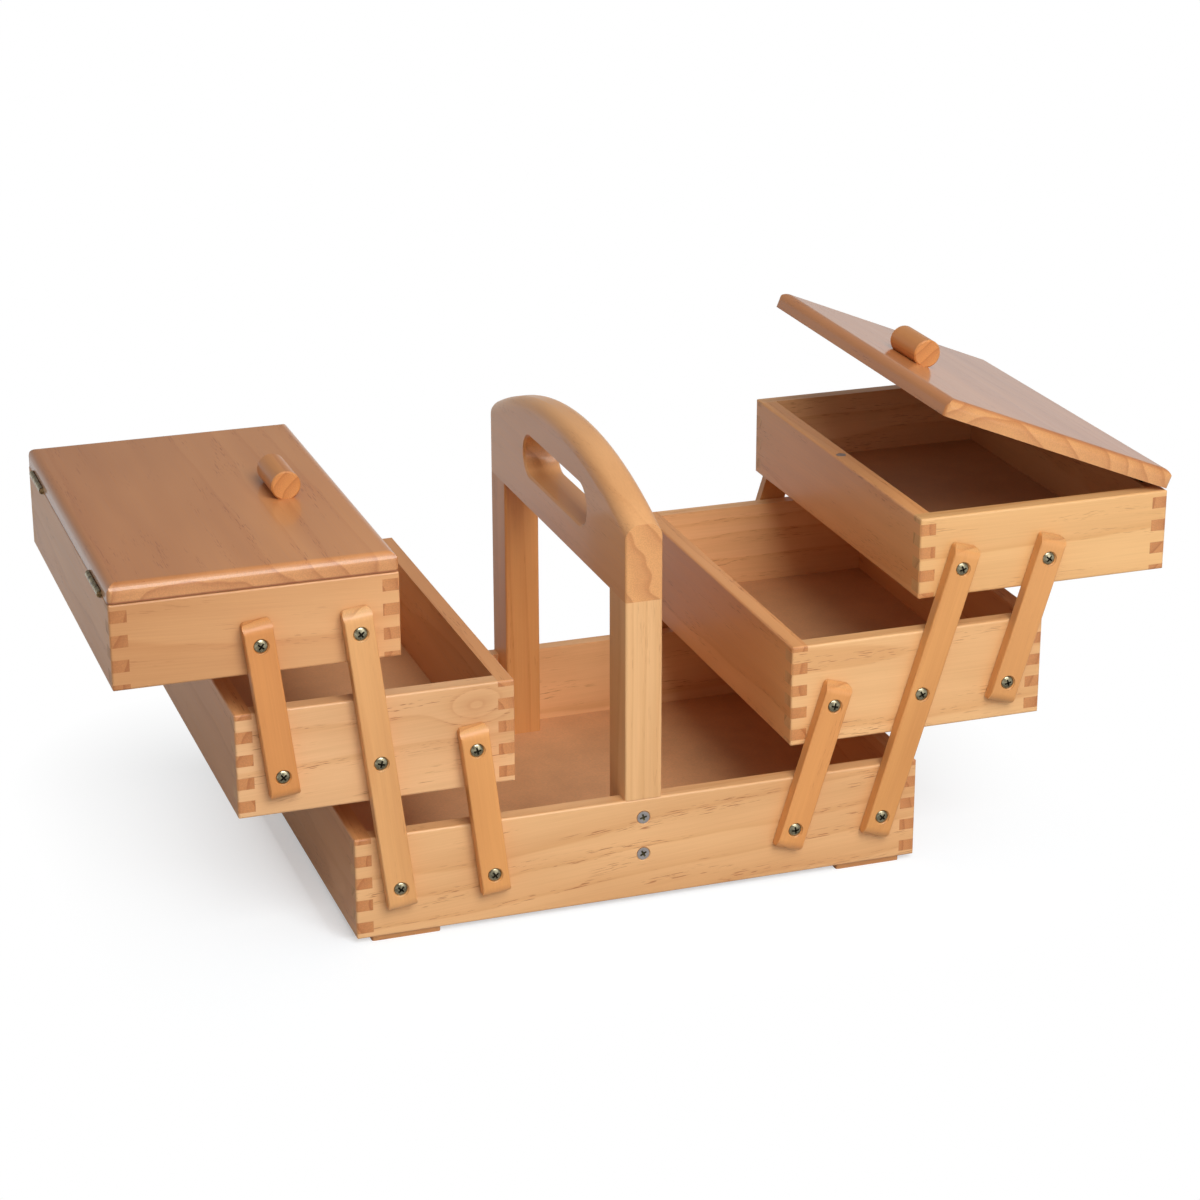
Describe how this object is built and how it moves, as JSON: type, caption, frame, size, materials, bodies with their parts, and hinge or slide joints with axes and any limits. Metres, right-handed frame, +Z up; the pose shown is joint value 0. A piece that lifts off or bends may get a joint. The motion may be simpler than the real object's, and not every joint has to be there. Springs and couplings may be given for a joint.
{
  "type": "sewing box",
  "caption": "Wooden cantilever sewing carrier: base box with an arched handle, trays on folding arms at both sides, and hinged lids.",
  "frame": {"origin": "middle of the base box, on the plane that the feet stand on", "axes": "+X to the right along the carrier, +Y to the back, +Z up"},
  "size_m": [0.6283, 0.2684, 0.2849],
  "materials": {
    "long_board": "clear lacquered pine, honey coloured",
    "end_board": "clear lacquered pine, a little darker",
    "arm_wood": "clear lacquered pine with eased edges",
    "handle_wood": "clear lacquered pine",
    "lid_wood": "lacquered pine board, reddish brown",
    "knob_wood": "lacquered dowel",
    "dowel_wood": "bare beech, hidden in the joint",
    "floor_board": "smooth brown hardboard",
    "foot_wood": "stained pad",
    "brass_screws": "brass-plated, raised countersunk heads",
    "steel_screws": "bright steel, flat countersunk heads",
    "catch_steel": "nickel-plated disc",
    "hinge_brass": "polished brass butt hinge"
  },
  "bodies": {
    "base": {"base_front_wall": "long_board", "base_back_wall": "long_board", "base_left_end": "end_board", "base_right_end": "end_board", "base_floor": "floor_board", "base_feet": "foot_wood", "handle_arch": "handle_wood", "handle_post_front": "handle_wood", "handle_post_back": "handle_wood", "handle_dowels": "dowel_wood", "handle_screws": "steel_screws", "base_pivot_screws": "brass_screws"},
    "left_long_arms": {"left_long_arm_front": "arm_wood", "left_long_arm_back": "arm_wood"},
    "left_lower_arms": {"left_lower_arm_front": "arm_wood", "left_lower_arm_back": "arm_wood"},
    "left_mid_tray": {"left_mid_front_wall": "long_board", "left_mid_back_wall": "long_board", "left_mid_outer_wall": "end_board", "left_mid_inner_wall": "end_board", "left_mid_floor": "floor_board", "left_mid_pivot_screws": "brass_screws"},
    "left_upper_arms": {"left_upper_arm_front": "arm_wood", "left_upper_arm_back": "arm_wood"},
    "left_top_tray": {"left_top_front_wall": "long_board", "left_top_back_wall": "long_board", "left_top_outer_wall": "end_board", "left_top_inner_wall": "end_board", "left_top_floor": "floor_board", "left_top_pivot_screws": "brass_screws", "left_tray_magnet": "catch_steel", "left_hinge_tray_leaves": "hinge_brass"},
    "left_lid": {"left_lid_board": "lid_wood", "left_lid_knob": "knob_wood", "left_lid_strike": "catch_steel", "left_hinge_lid_leaves": "hinge_brass"},
    "right_long_arms": {"right_long_arm_front": "arm_wood", "right_long_arm_back": "arm_wood"},
    "right_lower_arms": {"right_lower_arm_front": "arm_wood", "right_lower_arm_back": "arm_wood"},
    "right_mid_tray": {"right_mid_front_wall": "long_board", "right_mid_back_wall": "long_board", "right_mid_outer_wall": "end_board", "right_mid_inner_wall": "end_board", "right_mid_floor": "floor_board", "right_mid_pivot_screws": "brass_screws"},
    "right_upper_arms": {"right_upper_arm_front": "arm_wood", "right_upper_arm_back": "arm_wood"},
    "right_top_tray": {"right_top_front_wall": "long_board", "right_top_back_wall": "long_board", "right_top_outer_wall": "end_board", "right_top_inner_wall": "end_board", "right_top_floor": "floor_board", "right_top_pivot_screws": "brass_screws", "right_tray_magnet": "catch_steel", "right_hinge_tray_leaves": "hinge_brass"},
    "right_lid": {"right_lid_board": "lid_wood", "right_lid_knob": "knob_wood", "right_lid_strike": "catch_steel", "right_hinge_lid_leaves": "hinge_brass"}
  },
  "joints": [
    {"name": "left_fold", "type": "hinge", "parent": "base", "child": "left_long_arms", "pos_m": [-0.14578, 0, 0.0336], "axis": [0, -1, 0], "range_deg": [-51.64, 38.04]},
    {"name": "left_lower_arm_swing", "type": "hinge", "parent": "base", "child": "left_lower_arms", "pos_m": [-0.091, 0, 0.0336], "axis": [0, -1, 0], "range_deg": [-51.64, 38.04]},
    {"name": "left_mid_tray_swing", "type": "hinge", "parent": "left_long_arms", "child": "left_mid_tray", "pos_m": [-0.15498, 0, 0.11075], "axis": [0, -1, 0], "range_deg": [-38.04, 51.64]},
    {"name": "left_upper_arm_swing", "type": "hinge", "parent": "left_mid_tray", "child": "left_upper_arms", "pos_m": [-0.20977, 0, 0.11075], "axis": [0, -1, 0], "range_deg": [-51.64, 38.04]},
    {"name": "left_top_tray_swing", "type": "hinge", "parent": "left_long_arms", "child": "left_top_tray", "pos_m": [-0.16418, 0, 0.18791], "axis": [0, -1, 0], "range_deg": [-38.04, 51.64]},
    {"name": "left_lid_swing", "type": "hinge", "parent": "left_top_tray", "child": "left_lid", "pos_m": [-0.29847, 0, 0.21881], "axis": [0, -1, 0], "range_deg": [0, 105]},
    {"name": "right_fold", "type": "hinge", "parent": "base", "child": "right_long_arms", "pos_m": [0.14578, 0, 0.0336], "axis": [0, 1, 0], "range_deg": [-61.94, 27.74]},
    {"name": "right_lower_arm_swing", "type": "hinge", "parent": "base", "child": "right_lower_arms", "pos_m": [0.091, 0, 0.0336], "axis": [0, 1, 0], "range_deg": [-61.94, 27.74]},
    {"name": "right_mid_tray_swing", "type": "hinge", "parent": "right_long_arms", "child": "right_mid_tray", "pos_m": [0.16863, 0, 0.10787], "axis": [0, 1, 0], "range_deg": [-27.74, 61.94]},
    {"name": "right_upper_arm_swing", "type": "hinge", "parent": "right_mid_tray", "child": "right_upper_arms", "pos_m": [0.22341, 0, 0.10787], "axis": [0, 1, 0], "range_deg": [-61.94, 27.74]},
    {"name": "right_top_tray_swing", "type": "hinge", "parent": "right_long_arms", "child": "right_top_tray", "pos_m": [0.19148, 0, 0.18213], "axis": [0, 1, 0], "range_deg": [-27.74, 61.94]},
    {"name": "right_lid_swing", "type": "hinge", "parent": "right_top_tray", "child": "right_lid", "pos_m": [0.32576, 0, 0.21303], "axis": [0, 1, 0], "range_deg": [-22.2, 82.8]}
  ],
  "couplings": [
    {"joint": "left_lower_arm_swing", "follows": "left_fold", "ratio": 1},
    {"joint": "left_mid_tray_swing", "follows": "left_fold", "ratio": -1},
    {"joint": "left_upper_arm_swing", "follows": "left_fold", "ratio": 1},
    {"joint": "left_top_tray_swing", "follows": "left_fold", "ratio": -1},
    {"joint": "right_lower_arm_swing", "follows": "right_fold", "ratio": 1},
    {"joint": "right_mid_tray_swing", "follows": "right_fold", "ratio": -1},
    {"joint": "right_upper_arm_swing", "follows": "right_fold", "ratio": 1},
    {"joint": "right_top_tray_swing", "follows": "right_fold", "ratio": -1}
  ]
}
